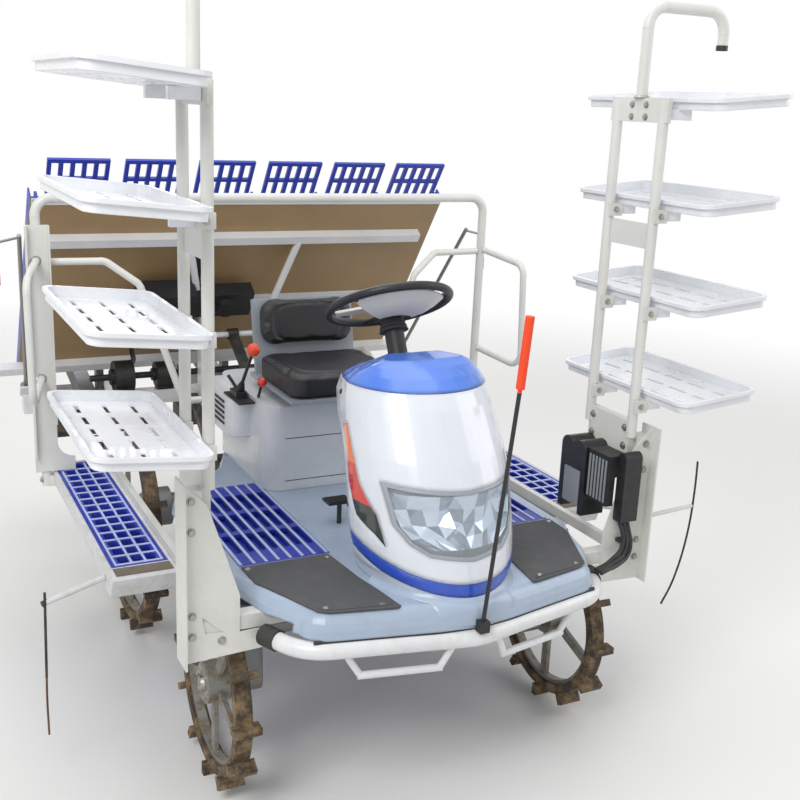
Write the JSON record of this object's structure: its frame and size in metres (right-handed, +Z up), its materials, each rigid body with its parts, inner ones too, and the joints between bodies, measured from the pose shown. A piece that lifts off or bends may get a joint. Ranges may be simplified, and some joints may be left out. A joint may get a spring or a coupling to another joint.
{
  "type": "riding rice transplanter",
  "caption": "Six-row riding rice transplanter with paddy wheels, seedling racks, driver's deck and seat, and a lifted planting unit with a sliding seedling table.",
  "frame": {"origin": "on the ground under the middle of the machine's box", "axes": "+Z up, -Y to the front, +X to the machine's left"},
  "size_m": [2.125, 2.855, 2.3174],
  "materials": {
    "white_moulding": "glossy white moulding",
    "pale_moulding": "pale blue-grey moulding",
    "blue_moulding": "royal blue moulding",
    "sky_moulding": "sky blue moulding",
    "grey_moulding": "grey moulding",
    "black_moulding": "black moulding",
    "red_moulding": "orange-red moulding",
    "black_rubber": "moulded rubber",
    "seat_vinyl": "black vinyl",
    "white_paint": "white powder coat",
    "frame_paint": "black paint",
    "cast_housing": "cast aluminium",
    "plated_steel": "zinc-plated steel",
    "hard_chrome": "polished rod",
    "lamp_lens": "clear lamp lens",
    "tyre_rubber": "rubber with dried mud"
  },
  "bodies": {
    "chassis": {"main_frame": "frame_paint", "transmission_case": "cast_housing", "rear_axle": "cast_housing", "engine_block": "cast_housing", "outriggers": "white_paint", "tow_plate": "frame_paint", "bumper": "white_paint", "bumper_caps": "black_rubber", "floor_deck": "pale_moulding", "tread_grilles": "blue_moulding", "floor_mats": "black_rubber", "hood": "white_moulding", "hood_top": "sky_moulding", "hood_stripe": "blue_moulding", "hood_skirt": "pale_moulding", "lamp_bezel": "grey_moulding", "headlamp": "lamp_lens", "side_lamps": "red_moulding", "steering_column": "black_moulding", "engine_cover": "white_moulding", "seat_shell": "grey_moulding", "seat_cushion": "seat_vinyl", "seat_back": "seat_vinyl", "controls": "black_moulding", "side_steps": "white_moulding", "rear_rail": "white_paint", "rail_plate": "white_paint", "rack_frames": "white_paint", "rack_trays": "white_moulding", "centre_marker": "black_rubber", "side_markers": "white_paint", "side_case": "black_moulding"},
    "front_knuckle_l": {"front_knuckle_l": "cast_housing"},
    "front_knuckle_r": {"front_knuckle_r": "cast_housing"},
    "front_wheel_l": {"front_tyre_l": "tyre_rubber", "front_hub_l": "plated_steel"},
    "front_wheel_r": {"front_tyre_r": "tyre_rubber", "front_hub_r": "plated_steel"},
    "rear_wheel_l": {"rear_tyre_l": "tyre_rubber", "rear_hub_l": "plated_steel"},
    "rear_wheel_r": {"rear_tyre_r": "tyre_rubber", "rear_hub_r": "plated_steel"},
    "steering": {"steering_wheel": "black_moulding", "steering_pad": "grey_moulding"},
    "lower_links": {"lower_links": "frame_paint"},
    "upper_link": {"upper_link": "frame_paint"},
    "lift_barrel": {"lift_barrel": "frame_paint"},
    "lift_rod": {"lift_rod": "hard_chrome"},
    "planting_unit": {"planting_frame": "white_paint", "planting_cases": "cast_housing", "floats": "black_moulding", "table_rails": "white_paint"},
    "rotors": {"planting_rotors": "cast_housing"},
    "arms_a": {"planting_arms_a": "cast_housing"},
    "arms_b": {"planting_arms_b": "cast_housing"},
    "table": {"seedling_table": "blue_moulding", "feed_belts": "black_rubber", "table_combs": "blue_moulding"},
    "line_marker_l": {"line_marker_l": "plated_steel"},
    "line_marker_r": {"line_marker_r": "plated_steel"}
  },
  "joints": [
    {"name": "steering_turn", "type": "hinge", "parent": "chassis", "child": "steering", "pos_m": [0, -0.71, 1.395], "axis": [0, 0.4695, 0.8829], "range_deg": [-350, 350]},
    {"name": "knuckle_l_turn", "type": "hinge", "parent": "chassis", "child": "front_knuckle_l", "pos_m": [0.5, -0.85, 0.31], "axis": [0, 0, 1], "range_deg": [-35, 35]},
    {"name": "front_wheel_l_spin", "type": "hinge", "parent": "front_knuckle_l", "child": "front_wheel_l", "pos_m": [0.6, -0.85, 0.31], "axis": [1, 0, 0], "continuous": true},
    {"name": "rear_wheel_l_spin", "type": "hinge", "parent": "chassis", "child": "rear_wheel_l", "pos_m": [0.6, 0.25, 0.45], "axis": [1, 0, 0], "continuous": true},
    {"name": "knuckle_r_turn", "type": "hinge", "parent": "chassis", "child": "front_knuckle_r", "pos_m": [-0.5, -0.85, 0.31], "axis": [0, 0, 1], "range_deg": [-35, 35]},
    {"name": "front_wheel_r_spin", "type": "hinge", "parent": "front_knuckle_r", "child": "front_wheel_r", "pos_m": [-0.6, -0.85, 0.31], "axis": [1, 0, 0], "continuous": true},
    {"name": "rear_wheel_r_spin", "type": "hinge", "parent": "chassis", "child": "rear_wheel_r", "pos_m": [-0.6, 0.25, 0.45], "axis": [1, 0, 0], "continuous": true},
    {"name": "lift", "type": "hinge", "parent": "chassis", "child": "lower_links", "pos_m": [0, 0.4, 0.44], "axis": [1, 0, 0], "range_deg": [-67, 0]},
    {"name": "upper_link_turn", "type": "hinge", "parent": "chassis", "child": "upper_link", "pos_m": [0, 0.4, 0.72], "axis": [1, 0, 0], "range_deg": [-67, 0]},
    {"name": "hitch_turn", "type": "hinge", "parent": "lower_links", "child": "planting_unit", "pos_m": [0, 0.82402, 0.70496], "axis": [1, 0, 0], "range_deg": [0, 67]},
    {"name": "barrel_tilt", "type": "hinge", "parent": "chassis", "child": "lift_barrel", "pos_m": [0, -0.05, 0.56], "axis": [1, 0, 0], "range_deg": [-9.45, 0]},
    {"name": "rod_slide", "type": "slide", "parent": "lift_barrel", "child": "lift_rod", "axis": [0, 0.9909, 0.1347], "range_m": [0, 0.1819]},
    {"name": "table_feed", "type": "slide", "parent": "planting_unit", "child": "table", "axis": [1, 0, 0], "range_m": [-0.13, 0.13]},
    {"name": "planting_turn", "type": "hinge", "parent": "planting_unit", "child": "rotors", "pos_m": [0, 1.31002, 0.76996], "axis": [1, 0, 0], "continuous": true},
    {"name": "arm_a_turn", "type": "hinge", "parent": "rotors", "child": "arms_a", "pos_m": [0, 1.31002, 0.86996], "axis": [1, 0, 0], "continuous": true},
    {"name": "arm_b_turn", "type": "hinge", "parent": "rotors", "child": "arms_b", "pos_m": [0, 1.31002, 0.66996], "axis": [1, 0, 0], "continuous": true},
    {"name": "line_marker_l_swing", "type": "hinge", "parent": "planting_unit", "child": "line_marker_l", "pos_m": [0.865, 0.93402, 0.78496], "axis": [0, 0.809, 0.5878], "range_deg": [0, 95]},
    {"name": "line_marker_r_swing", "type": "hinge", "parent": "planting_unit", "child": "line_marker_r", "pos_m": [-0.865, 0.93402, 0.78496], "axis": [0, 0.809, 0.5878], "range_deg": [-95, 0]}
  ],
  "couplings": [
    {"joint": "knuckle_l_turn", "follows": "steering_turn", "ratio": 0.1},
    {"joint": "knuckle_r_turn", "follows": "steering_turn", "ratio": 0.1},
    {"joint": "upper_link_turn", "follows": "lift", "ratio": 1},
    {"joint": "hitch_turn", "follows": "lift", "ratio": -1},
    {"joint": "barrel_tilt", "follows": "lift", "ratio": 0.1395},
    {"joint": "rod_slide", "follows": "lift", "m_per_rad": -0.1551},
    {"joint": "arm_a_turn", "follows": "planting_turn", "ratio": -1},
    {"joint": "arm_b_turn", "follows": "planting_turn", "ratio": -1}
  ]
}
